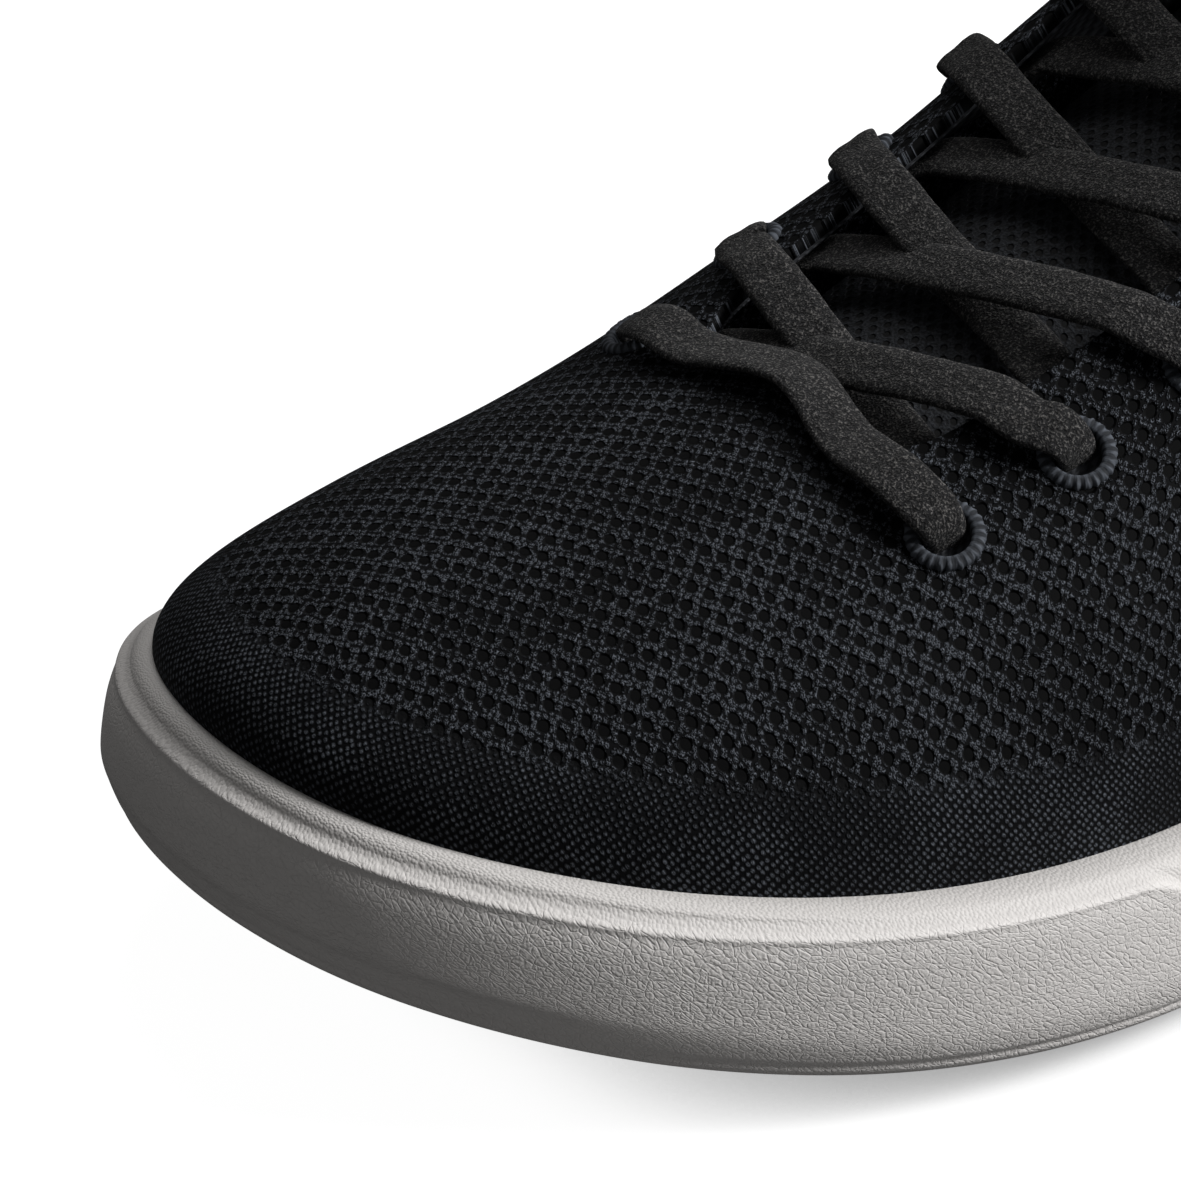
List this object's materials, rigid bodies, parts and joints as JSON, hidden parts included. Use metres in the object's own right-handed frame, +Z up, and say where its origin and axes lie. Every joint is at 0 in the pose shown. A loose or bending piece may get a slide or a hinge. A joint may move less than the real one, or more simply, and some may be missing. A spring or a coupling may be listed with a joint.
{
  "type": "running shoe",
  "caption": "Left low-top running shoe with an open knit upper, laced throat, padded collar and a textured foam cup sole.",
  "frame": {"origin": "centre of the bottom of the box round the shoe, measured without the free lace ends; the tread rests on z = 0", "axes": "+Z up, the toe points to -Y and the heel to +Y, the lateral side of this left shoe is +X"},
  "size_m": [0.1101, 0.301, 0.119],
  "materials": {
    "outsole_forefoot": "matte",
    "outsole_heel": "matte",
    "midsole": "matte",
    "strobel_board": "matte",
    "insole_foam": "matte",
    "insole_cover": "matte",
    "knit_upper": "matte",
    "toe_puff": "matte",
    "heel_counter": "matte",
    "collar_foam": "matte",
    "quarter_lining": "matte",
    "collar_binding": "matte",
    "eyestay_lateral": "matte",
    "eyestay_medial": "matte",
    "eyelets_lateral": "matte",
    "eyelets_medial": "matte",
    "tongue_knit": "matte",
    "tongue_foam": "matte",
    "tongue_lining": "matte",
    "heel_tab_patch": "matte",
    "heel_pull_tab": "matte",
    "lace_threaded": "matte",
    "lace_bow_lateral": "matte",
    "lace_bow_medial": "matte",
    "aglet_lateral": "smooth",
    "aglet_medial": "smooth"
  },
  "bodies": {
    "shoe": {"outsole_forefoot": "outsole_forefoot", "outsole_heel": "outsole_heel", "midsole": "midsole", "strobel_board": "strobel_board", "insole_foam": "insole_foam", "insole_cover": "insole_cover", "knit_upper": "knit_upper", "toe_puff": "toe_puff", "heel_counter": "heel_counter", "collar_foam": "collar_foam", "quarter_lining": "quarter_lining", "collar_binding": "collar_binding", "eyestay_lateral": "eyestay_lateral", "eyestay_medial": "eyestay_medial", "eyelets_lateral": "eyelets_lateral", "eyelets_medial": "eyelets_medial", "heel_tab_patch": "heel_tab_patch", "lace_threaded": "lace_threaded", "lace_bow_lateral": "lace_bow_lateral", "lace_bow_medial": "lace_bow_medial", "aglet_lateral": "aglet_lateral", "aglet_medial": "aglet_medial"},
    "tongue": {"tongue_knit": "tongue_knit", "tongue_foam": "tongue_foam", "tongue_lining": "tongue_lining"},
    "pull_loop": {"heel_pull_tab": "heel_pull_tab"}
  },
  "joints": [
    {"name": "tongue_hinge", "type": "hinge", "parent": "shoe", "child": "tongue", "pos_m": [0, -0.078, 0.0545], "axis": [1, 0, 0], "range_deg": [-4, 0]},
    {"name": "pull_loop_hinge", "type": "hinge", "parent": "shoe", "child": "pull_loop", "pos_m": [0, 0.1412, 0.0884], "axis": [1, 0, 0], "range_deg": [-60, 0]}
  ]
}
